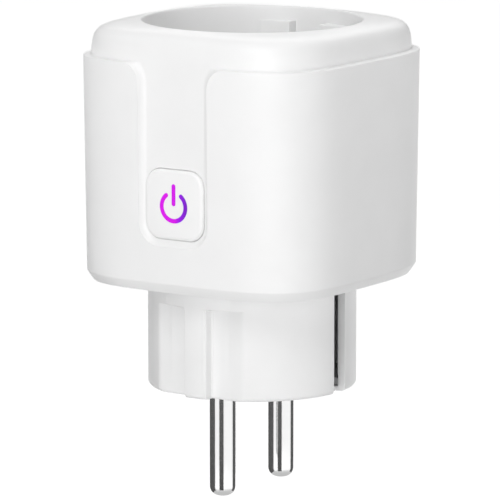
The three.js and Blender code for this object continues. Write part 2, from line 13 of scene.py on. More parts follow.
import bmesh
import bpy
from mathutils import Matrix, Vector


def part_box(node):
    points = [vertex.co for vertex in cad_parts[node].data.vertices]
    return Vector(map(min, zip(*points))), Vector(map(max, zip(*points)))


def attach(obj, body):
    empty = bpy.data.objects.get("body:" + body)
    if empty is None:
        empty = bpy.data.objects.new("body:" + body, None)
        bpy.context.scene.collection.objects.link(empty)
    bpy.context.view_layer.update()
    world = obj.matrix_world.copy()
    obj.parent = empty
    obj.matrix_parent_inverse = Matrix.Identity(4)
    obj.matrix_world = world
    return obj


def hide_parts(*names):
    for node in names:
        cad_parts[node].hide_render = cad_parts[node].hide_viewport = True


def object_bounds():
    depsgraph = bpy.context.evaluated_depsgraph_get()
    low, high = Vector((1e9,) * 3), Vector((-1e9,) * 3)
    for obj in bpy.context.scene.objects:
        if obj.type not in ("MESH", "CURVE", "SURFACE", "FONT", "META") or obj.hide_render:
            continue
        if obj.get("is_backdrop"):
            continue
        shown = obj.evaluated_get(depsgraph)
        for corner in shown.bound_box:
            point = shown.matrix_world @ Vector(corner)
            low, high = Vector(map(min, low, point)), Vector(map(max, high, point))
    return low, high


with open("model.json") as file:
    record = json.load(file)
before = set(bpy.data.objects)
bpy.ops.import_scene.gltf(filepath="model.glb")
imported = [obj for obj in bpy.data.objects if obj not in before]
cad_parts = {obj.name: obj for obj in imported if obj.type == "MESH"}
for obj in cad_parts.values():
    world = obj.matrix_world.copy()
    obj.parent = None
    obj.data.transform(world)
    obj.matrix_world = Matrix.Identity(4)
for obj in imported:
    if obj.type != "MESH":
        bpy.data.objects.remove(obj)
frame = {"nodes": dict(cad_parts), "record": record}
cad_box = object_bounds()
MM = 0.001
print("nodes:", len(frame["nodes"]))

# %% [markdown]
# ## Camera
#
# The view looks down by ten degrees and comes from the front right. A long lens from 0.9 m keeps the
# vertical edges almost parallel, as in a catalogue picture. The aim point lies on the axis of the
# plug, 20 mm above its face, and a small lens shift settles the framing without turning the camera.

# %% Set up the camera
CAMERA_AZIMUTH = math.radians(33.5)
CAMERA_ELEVATION = math.radians(10.1)
CAMERA_DISTANCE = 895 * MM
CAMERA_AIM = Vector((0, 0, 20 * MM))

toward_camera = Vector((
    math.sin(CAMERA_AZIMUTH) * math.cos(CAMERA_ELEVATION),
    -math.cos(CAMERA_AZIMUTH) * math.cos(CAMERA_ELEVATION),
    math.sin(CAMERA_ELEVATION),
))
camera_data = bpy.data.cameras.new("camera")
camera_data.sensor_width = 36
camera_data.lens = 359.6
camera_data.shift_x = -0.0044
camera_data.shift_y = 0.0451
camera_data.clip_start = 0.05
camera_data.clip_end = 50
camera = bpy.data.objects.new("camera", camera_data)
bpy.context.scene.collection.objects.link(camera)
camera.location = CAMERA_AIM + toward_camera * CAMERA_DISTANCE
camera.rotation_euler = toward_camera.to_track_quat("Z", "Y").to_euler()
bpy.context.scene.camera = camera
print("camera at", [round(value, 3) for value in camera.location])

# %% [markdown]
# ## Small helpers for materials
#
# Colours are written as sRGB hex values, the way a paint or plastics chart gives them, and one
# function turns them linear. Another adds a shader node, sets its values and makes its links in one
# call, so each material below reads as a short list of what the surface does.

# %% Colour and node helpers
def linear(hex_colour):
    """sRGB hex string to a linear RGBA tuple."""
    channels = [int(hex_colour[index:index + 2], 16) / 255 for index in (1, 3, 5)]
    straight = [c / 12.92 if c <= 0.04045 else ((c + 0.055) / 1.055) ** 2.4 for c in channels]
    return (*straight, 1.0)


def add_node(material, kind, settings=None, values=None, links=None):
    """Adds one shader node. settings are attributes, values fill sockets, links feed sockets."""
    node = material.node_tree.nodes.new(kind)
    for name, value in (settings or {}).items():
        setattr(node, name, value)
    for name, value in (values or {}).items():
        node.inputs[name].default_value = value
    for name, source in (links or {}).items():
        material.node_tree.links.new(source, node.inputs[name])
    return node


def start_material(name, **values):
    """A material with a Principled shader; values are its fixed sockets, spaces written as _."""
    material = bpy.data.materials.new(name)
    material.use_nodes = True
    material.node_tree.nodes.clear()
    shader = add_node(material, "ShaderNodeBsdfPrincipled")
    for socket, value in values.items():
        shader.inputs[socket.replace("_", " ")].default_value = value
    add_node(material, "ShaderNodeOutputMaterial", links={"Surface": shader.outputs[0]})
    return material, shader


def object_noise(material, size_mm, stretch=(1, 1, 1), detail=3.0):
    """Noise on object coordinates whose grains are about size_mm across."""
    place = add_node(material, "ShaderNodeTexCoord")
    mapping = add_node(
        material, "ShaderNodeMapping", values={"Scale": stretch}, links={"Vector": place.outputs["Object"]},
    )
    return add_node(
        material, "ShaderNodeTexNoise", values={"Scale": 1 / (size_mm * MM), "Detail": detail},
        links={"Vector": mapping.outputs[0]},
    )


def ramp(material, source, low, high, low_at=0.35, high_at=0.65):
    """Spreads a 0 to 1 source between two hex colours."""
    node = add_node(material, "ShaderNodeValToRGB", links={"Fac": source})
    node.color_ramp.elements[0].position = low_at
    node.color_ramp.elements[0].color = linear(low)
    node.color_ramp.elements[1].position = high_at
    node.color_ramp.elements[1].color = linear(high)
    return node.outputs["Color"]


def span(material, source, low, high):
    """Maps a 0 to 1 source to a plain number between low and high."""
    node = add_node(
        material, "ShaderNodeMapRange", values={"To Min": low, "To Max": high}, links={"Value": source},
    )
    return node.outputs["Result"]


def bump(material, shader, source, height_mm):
    """Raises the surface by height_mm where the source is 1."""
    node = add_node(
        material, "ShaderNodeBump", values={"Distance": height_mm * MM}, links={"Height": source},
    )
    material.node_tree.links.new(node.outputs["Normal"], shader.inputs["Normal"])


def feed(material, shader, socket, source):
    """Links a source to one of the shader's sockets."""
    material.node_tree.links.new(source, shader.inputs[socket])


# %% [markdown]
# ## Moulded ABS
#
# The housing is white ABS from a spark-eroded mould. That leaves a very fine grain that breaks
# highlights into a soft satin sheen, with faint flow differences in tone that only show at a raking
# angle. The grain of a real mould is about 0.03 mm; it is drawn at 0.16 mm so that it still shows.

# %% White ABS for the housing and the button
def moulded_plastic(name, light, shade, roughness, grain_mm=0.16, grain_height=0.003):
    material, shader = start_material(name, IOR=1.53)
    flow = object_noise(material, 9.0, detail=2.0)
    feed(material, shader, "Base Color", ramp(material, flow.outputs["Fac"], shade, light))
    grain = object_noise(material, grain_mm, detail=2.0)
    gloss = span(material, grain.outputs["Fac"], roughness - 0.04, roughness + 0.04)
    feed(material, shader, "Roughness", gloss)
    bump(material, shader, grain.outputs["Fac"], grain_height)
    return material


white_abs = moulded_plastic("white_moulded_abs", "#f3f3f3", "#f1f1f1", 0.38)
button_abs = moulded_plastic("white_button_abs", "#f5f5f5", "#f3f3f3", 0.34, grain_height=0.002)
inner_nylon = moulded_plastic("glass_filled_nylon", "#e2dfd8", "#d8d5cd", 0.55, grain_mm=0.25)
print("white ABS ready:", white_abs.name, button_abs.name)

# %% [markdown]
# ## Plated and drawn metal
#
# The pins are turned brass under bright nickel. Plating keeps the turning marks faintly, as rings
# round the pin, so the reflections stay sharp along the pin and spread a little across it. Springs
# and straps are rolled strip, so their marks run along the strip and they are a little duller.

# %% Metals
def plated_metal(name, light, shade, roughness, marks, mark_mm=0.12, mark_height=0.0006):
    """marks stretches the noise: a large number along an axis makes lines that cross it."""
    material, shader = start_material(name, Metallic=1.0)
    lines = object_noise(material, mark_mm, stretch=marks, detail=2.0)
    feed(material, shader, "Base Color", ramp(material, lines.outputs["Fac"], shade, light))
    gloss = span(material, lines.outputs["Fac"], roughness * 0.7, roughness * 1.3)
    feed(material, shader, "Roughness", gloss)
    bump(material, shader, lines.outputs["Fac"], mark_height)
    return material


bright_nickel = plated_metal(
    "bright_nickel_plate", "#eeeeee", "#e9e9e9", 0.11, (0.08, 0.08, 1.0), mark_mm=0.2, mark_height=0.0001,
)
strip_nickel = plated_metal("nickel_plated_strip", "#c9cac8", "#b4b6b6", 0.24, (1.0, 1.0, 0.06))
spring_steel = plated_metal("drawn_spring_steel", "#b3b5b6", "#989b9d", 0.3, (0.3, 0.3, 1.0))
stamped_brass = plated_metal("stamped_brass", "#d9b45c", "#bf9740", 0.28, (1.0, 1.0, 0.1))
tinned_sheet = plated_metal("tinned_sheet_steel", "#c2c4c5", "#a9acae", 0.33, (0.1, 1.0, 1.0), 0.3)
soft_iron = plated_metal("soft_iron", "#8d8f91", "#707376", 0.5, (1.0, 1.0, 0.3), 0.3)
print("metals ready")

# %% [markdown]
# ## Lit symbol
#
# The power symbol is a clear acrylic light guide with two LEDs behind it, one red and one blue. Close
# to the red one it glows magenta, under the ring the two mix to purple, and on the far side it turns
# violet. The change of colour is a ramp along X, and the glow is emission of the same colour, so the
# white plastic round it picks up a little of the light.

# %% Light guide material
def glowing_acrylic():
    material, shader = start_material("lit_acrylic_light_guide", Roughness=0.3, IOR=1.49)
    shader.inputs["Base Color"].default_value = linear("#2a0a33")
    shader.inputs["Specular IOR Level"].default_value = 0.15
    shader.inputs["Emission Strength"].default_value = 0.92
    place = add_node(material, "ShaderNodeTexCoord")
    along = add_node(
        material, "ShaderNodeSeparateXYZ", links={"Vector": place.outputs["Object"]},
    )
    across = add_node(
        material, "ShaderNodeMapRange",
        values={"From Min": -2.9 * MM, "From Max": 2.9 * MM}, links={"Value": along.outputs["X"]},
    )
    colours = add_node(material, "ShaderNodeValToRGB", links={"Fac": across.outputs["Result"]})
    stops = colours.color_ramp
    stops.elements[0].position = 0.0
    stops.elements[0].color = linear("#e010f0")
    stops.elements[1].position = 1.0
    stops.elements[1].color = linear("#7418c4")
    for place_at, colour in ((0.3, "#e212ef"), (0.56, "#d810ee"), (0.7, "#a010ee"), (0.85, "#8416d8")):
        stops.elements.new(place_at).color = linear(colour)
    feed(material, shader, "Emission Color", colours.outputs["Color"])
    return material


lit_acrylic = glowing_acrylic()
print("light guide ready")

# %% [markdown]
# ## Finishes of the hidden parts
#
# Behind the shell sit boards, chips and wound parts. Each gets its own finish too, because the model
# may be opened or cut in use: solder mask over glass laminate, black moulding compound, enamelled
# copper, shrink sleeve, dipped epoxy and cement.

# %% Electronics materials
def layered(name, light, shade, roughness, grain_mm, grain_height, **values):
    """A plain coloured surface with a grain of its own."""
    material, shader = start_material(name, **values)
    grain = object_noise(material, grain_mm)
    feed(material, shader, "Base Color", ramp(material, grain.outputs["Fac"], shade, light))
    gloss = span(material, grain.outputs["Fac"], roughness - 0.06, roughness + 0.06)
    feed(material, shader, "Roughness", gloss)
    bump(material, shader, grain.outputs["Fac"], grain_height)
    return material


FINISHES = {
    "white_abs": white_abs,
    "button_white": button_abs,
    "inner_nylon": inner_nylon,
    "icon_lens": lit_acrylic,
    "nickel_plate": strip_nickel,
    "spring_steel": spring_steel,
    "contact_brass": stamped_brass,
    "tin_plate": tinned_sheet,
    "core_iron": soft_iron,
    "coil_copper": plated_metal("enamelled_copper_wire", "#b56a38", "#8f4d24", 0.32, (0.05, 0.05, 1.0), 0.2),
    "board_green": layered("green_solder_mask", "#256b47", "#1b5237", 0.35, 1.4, 0.01, IOR=1.5),
    "board_black": layered("black_solder_mask", "#25282d", "#1b1d21", 0.35, 1.4, 0.01, IOR=1.5),
    "chip_black": layered("moulding_compound", "#212223", "#191a1b", 0.6, 0.12, 0.004),
    "relay_blue": layered("blue_polyester_cover", "#2f64a6", "#28578f", 0.35, 0.3, 0.003),
    "capacitor_sleeve": layered("shrink_sleeve", "#2c2e36", "#23252b", 0.4, 0.6, 0.006),
    "film_box_yellow": layered("yellow_polypropylene_box", "#cfac3e", "#bd9a31", 0.4, 0.4, 0.004),
    "disc_blue": layered("dipped_blue_epoxy", "#3274b5", "#2a649d", 0.3, 1.0, 0.02),
    "resistor_green": layered("green_cement_coat", "#64927a", "#557f69", 0.6, 0.3, 0.01),
    "clear_epoxy": layered("clear_led_epoxy", "#eef1f5", "#e2e6ec", 0.15, 0.8, 0.002, IOR=1.5),
}
for row in frame["record"]["subparts"]:
    node = frame["nodes"][row["node"]]
    if not node.data.materials:
        node.data.materials.append(None)
    for slot in node.material_slots:
        slot.material = FINISHES[row["material_slot"]]

# %% [markdown]
# ## How the moulded shells are made
#
# Every moulded shell here is a stack of closed rings. One circle is made, and each further ring is
# extruded from the one before and moved to its place, so the shell grows as on a potter's wheel, but
# with a plan outline that is free to change from a circle to a rounded square. The outline is a
# superellipse: exponent 2 is a circle, 4 is a square with generous corners and slightly full sides.

# %% Ring helpers
SQUARED = 4.0
SHARP_ANGLE = 32.0
WELD = 0.004 * MM
SLIVER = 0.002 * MM
QUARTER_TURN = (0, 18, 36, 54, 72, 90)


def superellipse(angle, half, power):
    """Distance from the axis to a superellipse of that half width, in the given direction."""
    spread = abs(math.cos(angle)) ** power + abs(math.sin(angle)) ** power
    return half / spread ** (1 / power)


def rounded_off(half, power=SQUARED):
    """A reach for ring() that follows a superellipse of that half width."""
    return lambda angle: superellipse(angle, half, power)


def ring_angles(count, corners=()):
    """Even directions round the axis, plus the exact directions of an outline's own corners."""
    even = [2 * math.pi * index / count for index in range(count)]
    near = math.pi / count * 0.6
    kept = [a for a in even if all(abs(a - corner) > near for corner in corners)]
    return sorted(kept + list(corners))


def ring(angles, reach, height):
    """Points in millimetres: reach is a number or a function of the direction, as is height."""
    points = []
    for angle in angles:
        radius = reach(angle) if callable(reach) else reach
        z = height(angle) if callable(height) else height
        points.append(Vector((radius * math.cos(angle), radius * math.sin(angle), z)) * MM)
    return points


def first_loop(bm, points):
    """A closed loop of edges through the points, made from a circle."""
    loop = bmesh.ops.create_circle(bm, segments=len(points), radius=MM)["verts"]
    for vert, point in zip(loop, points):
        vert.co = point
    return loop


def next_loop(bm, loop, points):
    """Extrudes the loop and moves the new one to its points."""
    count = len(loop)
    edges = [bm.edges.get((loop[index], loop[(index + 1) % count])) for index in range(count)]
    fresh = set(bmesh.ops.extrude_edge_only(bm, edges=edges)["geom"])
    grown = []
    for vert, point in zip(loop, points):
        twin = next(e.other_vert(vert) for e in vert.link_edges if e.other_vert(vert) in fresh)
        twin.co = point
        grown.append(twin)
    return grown


def stack(bm, rings):
    """Grows a skin through the rings, and returns its first and last loop."""
    start = first_loop(bm, rings[0])
    loop = start
    for points in rings[1:]:
        loop = next_loop(bm, loop, points)
    return start, loop


def finish_piece(bm, name, material, body, replaces=(), sharp=SHARP_ANGLE):
    """Welds, turns faces outwards, shades and files the mesh as a piece that rides on a body."""
    bmesh.ops.remove_doubles(bm, verts=bm.verts, dist=WELD)
    bmesh.ops.dissolve_degenerate(bm, edges=bm.edges, dist=SLIVER)
    bmesh.ops.recalc_face_normals(bm, faces=bm.faces)
    mesh = bpy.data.meshes.new(name)
    bm.to_mesh(mesh)
    bm.free()
    mesh.materials.append(material)
    shade(mesh, sharp)
    piece = bpy.data.objects.new(name, mesh)
    bpy.context.scene.collection.objects.link(piece)
    if body:
        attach(piece, body)
    if replaces:
        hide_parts(*replaces)
    return piece


def shade(mesh, sharp):
    """Smooth shading that breaks at edges sharper than the angle in degrees."""
    mesh.shade_smooth()
    mesh.set_sharp_from_angle(angle=math.radians(sharp))


def cut(piece, cutters, sharp=SHARP_ANGLE):
    """Cuts the cutters out of the piece for good and removes them."""
    for cutter in cutters:
        change = piece.modifiers.new("cut", "BOOLEAN")
        change.operation = "DIFFERENCE"
        change.solver = "EXACT"
        change.object = cutter
    graph = bpy.context.evaluated_depsgraph_get()
    mesh = bpy.data.meshes.new_from_object(piece.evaluated_get(graph))
    piece.modifiers.clear()
    old = piece.data
    name = old.name
    piece.data = mesh
    bpy.data.meshes.remove(old)
    mesh.name = name
    for cutter in cutters:
        bpy.data.meshes.remove(cutter.data)
    shade(mesh, sharp)


def report(piece):
    """Prints a piece's face count and its size in millimetres."""
    size = [round(value / MM, 2) for value in piece.dimensions]
    print(piece.name, len(piece.data.polygons), "faces,", size, "mm")


# %% [markdown]
# ## Outlines that several pieces share
#
# The front stripe, the button and the button's hole are outlines drawn in X and Z. Each is a closed
# run of points with round corners as arcs, and a cutter or a solid is made by stacking such outlines
# one behind the other in Y. Growing or shrinking the outline from ring to ring makes a slanted or
# rounded wall, which is how a fillet is made here without a bevel.

# %% Flat outlines
def arc(centre_x, centre_z, radius, start, end, steps):
    """Points on an arc, angles in degrees."""
    points = []
    for index in range(steps + 1):
        angle = math.radians(start + (end - start) * index / steps)
        points.append((centre_x + radius * math.cos(angle), centre_z + radius * math.sin(angle)))
    return points


def rounded_square(half_x, half_z, corner, centre_z, steps=10):
    """Outline of the button and its hole."""
    x = half_x - corner
    z = half_z - corner
    return (
        arc(x, centre_z - z, corner, -90, 0, steps) + arc(x, centre_z + z, corner, 0, 90, steps)
        + arc(-x, centre_z + z, corner, 90, 180, steps) + arc(-x, centre_z - z, corner, 180, 270, steps)
    )


def at_depth(outline, depth):
    """Places an outline at a depth in Y; depth is a number or a function of x and z."""
    placed = []
    for x, z in outline:
        y = depth(x, z) if callable(depth) else depth
        placed.append(Vector((x, y, z)) * MM)
    return placed


def capped_stack(bm, rings):
    """A skin through the rings with a flat face on each end."""
    for loop in stack(bm, rings):
        bm.faces.new(loop)


# %% [markdown]
# ## Outer shell
#
# The shell is a sleeve with a floor. Its walls lean out by half a degree so that it leaves its mould,
# its lower edge is turned in by a slightly round chamfer, and its top edge is a narrow flat ledge.
# A stripe is cut out of the front wall. The walls of that cut lean inwards and run out flat, and at
# the ledge they flare apart in two round shoulders.

# %% Shell sizes, taken from the frame
shell_low, shell_high = (corner / MM for corner in map(Vector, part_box("outer_shell")))
UNDERSIDE = shell_low.z
LEDGE = shell_high.z
HALF_TOP = shell_high.x
CHAMFER_HEIGHT = 1.8
CHAMFER_INSET = 1.0
CHAMFER_BULGE = 0.06
FOOT_WIDTH = 0.25
FOOT_RISE = 0.06
HALF_BOTTOM = HALF_TOP - 0.4
SHELL_HOLE = 19.0
SHELL_FLOOR = 1.5
SLEEVE_HALF = 24.3
SEAM = 0.02
LEDGE_EDGE = 0.22
LEDGE_FILLET = 0.3
WALL_RINGS = 26
CRISP = 20.0
ROUND = ring_angles(256)


def wall_half(z):
    """Half width of the shell's outer wall at a height."""
    share = (z - UNDERSIDE - CHAMFER_HEIGHT) / (LEDGE - UNDERSIDE - CHAMFER_HEIGHT)
    return HALF_BOTTOM + (HALF_TOP - HALF_BOTTOM) * max(0.0, share)


print("shell from", round(UNDERSIDE, 2), "to", round(LEDGE, 2), "mm")


# %% Build the shell
def shell_profile():
    """Pairs of half width and height from the floor's hole, over the outside, to the inside."""
    low = UNDERSIDE + CHAMFER_HEIGHT
    profile = [(HALF_BOTTOM - CHAMFER_INSET - FOOT_WIDTH, UNDERSIDE)]
    for share in (0.0, 0.06, 0.25, 0.5, 0.75, 0.9, 0.96):
        bulge = CHAMFER_BULGE * math.sin(math.pi * share)
        half = HALF_BOTTOM - CHAMFER_INSET * (1 - share) + bulge
        profile.append((half, UNDERSIDE + FOOT_RISE + (CHAMFER_HEIGHT - FOOT_RISE) * share))
    profile.append((wall_half(low + 0.06), low + 0.06))
    wall_low = low + 0.16
    wall_high = LEDGE - 2 * LEDGE_EDGE
    for step in range(WALL_RINGS + 1):
        z = wall_low + (wall_high - wall_low) * step / WALL_RINGS
        profile.append((wall_half(z), z))
    for turn in (15, 30, 45, 60, 75, 90):
        angle = math.radians(turn)
        half = HALF_TOP - LEDGE_EDGE + LEDGE_EDGE * math.cos(angle)
        profile.append((half, LEDGE - LEDGE_EDGE + LEDGE_EDGE * math.sin(angle)))
    inner = SLEEVE_HALF + SEAM
    for turn in QUARTER_TURN:
        angle = math.radians(turn)
        half = inner + LEDGE_FILLET * (1 - math.sin(angle))
        profile.append((half, LEDGE + LEDGE_FILLET * (1 - math.cos(angle))))
    profile.append((inner, UNDERSIDE + SHELL_FLOOR))
    return profile


def build_shell():
    bm = bmesh.new()
    rings = [ring(ROUND, SHELL_HOLE, UNDERSIDE)]
    for half, z in shell_profile():
        rings.append(ring(ROUND, rounded_off(half), z))
    rings.append(ring(ROUND, SHELL_HOLE, UNDERSIDE + SHELL_FLOOR))
    rings.append(rings[0])
    stack(bm, rings)
    return finish_piece(bm, "outer_shell_moulding", white_abs, "housing", ["outer_shell"], CRISP)


outer_shell = build_shell()
report(outer_shell)

# %% [markdown]
# The stripe's cutter is a stack of outlines that shrink as they go in. The sharp start at the surface
# and the slow run-out at the foot are what the eye reads as a pressed-in panel.

# %% Cut the front stripe
STRIPE_HALF = 7.3
STRIPE_BOTTOM = 28.15
STRIPE_CORNER = 4.0
STRIPE_FLARE = 3.6
STRIPE_BACK = -22.0
STRIPE_SLOPE = ((0.0, 0.0), (0.3, 0.2), (0.56, 0.44), (0.76, 0.7), (0.9, 1.0), (0.97, 1.3), (1.0, 1.6))


def stripe_outline(inset):
    """The stripe's outline, moved inwards by inset."""
    half = STRIPE_HALF - inset
    corner = STRIPE_CORNER - inset
    shoulder_x = STRIPE_HALF + STRIPE_FLARE
    shoulder_z = LEDGE - STRIPE_FLARE
    flare = STRIPE_FLARE + inset
    bottom = STRIPE_BOTTOM + inset
    top = LEDGE + 3
    return (
        arc(half - corner, bottom + corner, corner, -90, 0, 10)
        + arc(shoulder_x, shoulder_z, flare, 180, 90, 12)
        + [(shoulder_x, top), (-shoulder_x, top)]
        + arc(-shoulder_x, shoulder_z, flare, 90, 0, 12)
        + arc(-half + corner, bottom + corner, corner, 180, 270, 10)
    )


def stripe_cutter():
    """The slope is given as shares of the way from the outer wall down to the cap's sleeve."""
    bm = bmesh.new()
    rings = [at_depth(stripe_outline(0), -HALF_TOP - 1.5)]
    for share, inset in STRIPE_SLOPE:
        def down_the_slope(x, z, share=share):
            wall = wall_half(z)
            return share * (wall - SLEEVE_HALF + 0.03) - wall
        rings.append(at_depth(stripe_outline(inset), down_the_slope))
    rings.append(at_depth(stripe_outline(STRIPE_SLOPE[-1][1]), STRIPE_BACK))
    capped_stack(bm, rings)
    return finish_piece(bm, "stripe_cutter", white_abs, None)


cut(outer_shell, [stripe_cutter()], CRISP)
report(outer_shell)

# %% [markdown]
# ## Socket cap
#
# The cap is one moulding: a sleeve that sits inside the shell and shows through the front stripe, a
# crown that turns from the rounded square of the sleeve to the round rim of the socket, the well with
# its four guide lands, and the well's floor. All of it is one stack of rings, from the middle of the
# floor, up the well, over the rim and down the outside, and back underneath.

# %% Sizes of the cap
cap_low, cap_high = (corner / MM for corner in map(Vector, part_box("socket_cap")))
RIM = cap_high.z
WELL = 19.5
WELL_FLOOR = 47.8
FLOOR_THICK = 1.5
WELL_CORNER = 0.3
WELL_OUTER = 20.9
LAND_FACE = 17.0
LAND_NOTCH = 3.2
LAND_TOP = 63.2
LAND_EDGE = 0.25
RIM_LIP = 0.45
SLEEVE_LOW = cap_low.z
SLEEVE_INNER = 23.4
CROWN_INSIDE = ((SLEEVE_INNER, 61.0), (22.6, 63.0))
CROWN_ROOF = 63.4


def mirrored(directions):
    """The same directions in all four quadrants."""
    everywhere = []
    for angle in directions:
        everywhere += [angle, math.pi - angle, math.pi + angle, 2 * math.pi - angle]
    return sorted(everywhere)


notch_in = math.atan2(LAND_FACE, LAND_NOTCH)
notch_out = math.atan2(math.sqrt(WELL ** 2 - LAND_NOTCH ** 2), LAND_NOTCH)
land_end = math.atan2(LAND_FACE, math.sqrt(WELL ** 2 - LAND_FACE ** 2))
CAP_ROUND = ring_angles(256, mirrored([notch_in, notch_out, land_end]))


def well_reach(angle, retreat=0.0):
    """Distance to the well's wall below the land tops; retreat moves the lands back."""
    side = abs(math.sin(angle))
    quarter = math.asin(min(1.0, side))
    if quarter > notch_in + 1e-6 or side < 1e-6:
        return WELL
    return min(WELL, (LAND_FACE + retreat) / side)


print("rim at", round(RIM, 2), "mm,", len(CAP_ROUND), "points to a ring")


# %% Build the cap
def crown_profile():
    """Half width, exponent and height from the rim's outer edge down to the ledge."""
    return [
        (20.1, 2.0, RIM - 0.01), (20.5, 2.3, RIM - 0.09), (21.1, 2.8, RIM - 0.24), (21.75, 3.4, RIM - 0.42),
        (22.4, 3.8, RIM - 0.66), (23.0, 4.0, RIM - 1.02), (23.5, 4.0, RIM - 1.54), (23.87, 4.0, RIM - 2.2),
        (24.1, 4.0, RIM - 3.1), (24.24, 4.0, RIM - 4.3), (SLEEVE_HALF, 4.0, LEDGE),
    ]


def well_rings():
    """From the middle of the well's floor, up past the guide lands and round the lip."""
    rings = [ring(CAP_ROUND, reach, WELL_FLOOR) for reach in (0, 4, 8, 12, 16)]
    rings.append(ring(CAP_ROUND, lambda angle: well_reach(angle) - WELL_CORNER, WELL_FLOOR))
    rings.append(ring(CAP_ROUND, well_reach, WELL_FLOOR + WELL_CORNER))
    rings.append(ring(CAP_ROUND, well_reach, LAND_TOP - LAND_EDGE))
    rings.append(ring(CAP_ROUND, lambda angle: well_reach(angle, 0.08), LAND_TOP - 0.08))
    rings.append(ring(CAP_ROUND, lambda angle: well_reach(angle, LAND_EDGE), LAND_TOP))
    rings.append(ring(CAP_ROUND, WELL, LAND_TOP + 0.02))
    for turn in (0, 22, 45, 68, 90):
        angle = math.radians(turn)
        reach = WELL + RIM_LIP - RIM_LIP * math.cos(angle)
        rings.append(ring(CAP_ROUND, reach, RIM - RIM_LIP + RIM_LIP * math.sin(angle)))
    return rings


def sleeve_rings():
    """Down the outside of the sleeve, and up inside it to the back of the well's floor."""
    outside = rounded_off(SLEEVE_HALF)
    rings = [ring(CAP_ROUND, outside, z) for z in range(int(LEDGE) - 2, int(SLEEVE_LOW), -3)]
    rings.append(ring(CAP_ROUND, outside, SLEEVE_LOW))
    rings.append(ring(CAP_ROUND, rounded_off(SLEEVE_INNER), SLEEVE_LOW))
    for half, z in CROWN_INSIDE:
        rings.append(ring(CAP_ROUND, rounded_off(half), z))
    rings.append(ring(CAP_ROUND, WELL_OUTER, CROWN_ROOF))
    rings.append(ring(CAP_ROUND, WELL_OUTER, WELL_FLOOR - FLOOR_THICK))
    rings.append(ring(CAP_ROUND, 0, WELL_FLOOR - FLOOR_THICK))
    return rings


def build_cap():
    bm = bmesh.new()
    crown = [ring(CAP_ROUND, rounded_off(half, power), z) for half, power, z in crown_profile()]
    stack(bm, well_rings() + crown + sleeve_rings())
    return finish_piece(bm, "socket_cap_moulding", white_abs, "housing", ["socket_cap"])


socket_cap = build_cap()
report(socket_cap)

# %% [markdown]
# Three kinds of opening are cut in the cap. The pin holes have a funnel at the top that guides a pin
# in. The slots for the earth clips run down both sides of the well. The button's hole has a small
# round edge, and it also takes a bite from the foot of the shell's stripe.

# %% Cut the openings
PIN_Y = 9.5
PIN_HOLE = 3.0
FUNNEL = 0.55
BUTTON_Z = 35.6
BUTTON_HALF = 6.05
BUTTON_TALL = 6.2
BUTTON_CORNER = 3.0
BUTTON_GAP = 0.05
HOLE_EDGE = 0.14
FACE_Y = -SLEEVE_HALF


def turned_cutter(profile, y):
    """A round cutter about a vertical axis at y; the profile gives radius and height."""
    bm = bmesh.new()
    circle = ring_angles(48)
    rings = []
    for radius, z in profile:
        points = ring(circle, radius, z)
        rings.append([point + Vector((0, y * MM, 0)) for point in points])
    capped_stack(bm, rings)
    return finish_piece(bm, "hole_cutter", white_abs, None)


def block_cutter(low, high):
    """A plain box between two corners in millimetres."""
    bm = bmesh.new()
    made = bmesh.ops.create_cube(bm, size=MM)["verts"]
    size = [(b - a) for a, b in zip(low, high)]
    middle = Vector([(a + b) / 2 * MM for a, b in zip(low, high)])
    bmesh.ops.scale(bm, vec=size, verts=made)
    bmesh.ops.translate(bm, vec=middle, verts=made)
    return finish_piece(bm, "block_cutter", white_abs, None)


def slot_cutters(near, far, half_width, low, high):
    """The same block on the right and on the left."""
    right = block_cutter((near, -half_width, low), (far, half_width, high))
    left = block_cutter((-far, -half_width, low), (-near, half_width, high))
    return [right, left]


def button_outline(grow):
    """The button's outline, widened all round by grow."""
    return rounded_square(BUTTON_HALF + grow, BUTTON_TALL + grow, BUTTON_CORNER + grow, BUTTON_Z)


def button_hole_cutter():
    """The button's outline plus its gap, flared where it meets the face."""
    bm = bmesh.new()
    rings = []
    flare = ((-2.0, HOLE_EDGE), (0.0, HOLE_EDGE), (0.05, HOLE_EDGE * 0.55), (0.18, 0.0), (3.0, 0.0))
    for depth, grow in flare:
        rings.append(at_depth(button_outline(BUTTON_GAP + grow), FACE_Y + depth))
    capped_stack(bm, rings)
    return finish_piece(bm, "button_hole_cutter", white_abs, None)


funnel_profile = [
    (PIN_HOLE, WELL_FLOOR - 3), (PIN_HOLE, WELL_FLOOR - FUNNEL),
    (PIN_HOLE + FUNNEL * 0.4, WELL_FLOOR - FUNNEL * 0.3),
    (PIN_HOLE + FUNNEL, WELL_FLOOR), (PIN_HOLE + FUNNEL, WELL_FLOOR + 1),
]
cap_cutters = [turned_cutter(funnel_profile, side * PIN_Y) for side in (-1, 1)]
cap_cutters += slot_cutters(near=16.2, far=22.3, half_width=2.8, low=44.8, high=60.6)
cap_cutters.append(button_hole_cutter())
cut(socket_cap, cap_cutters)
report(socket_cap)
cut(outer_shell, [button_hole_cutter()], CRISP)
report(outer_shell)

# %% [markdown]
# ## Plug base
#
# The neck fits a wall socket, so its shape is a standard one: a round plug with a flat recess on the
# front and the rear, a rib up the middle of each, and an open slot on each side for the earth
# contacts. The recesses stop short of the body. It is one more stack of rings, hollow inside. The
# wall is thin beside the slots, so each slot opens into the hollow and shows a dark gap.

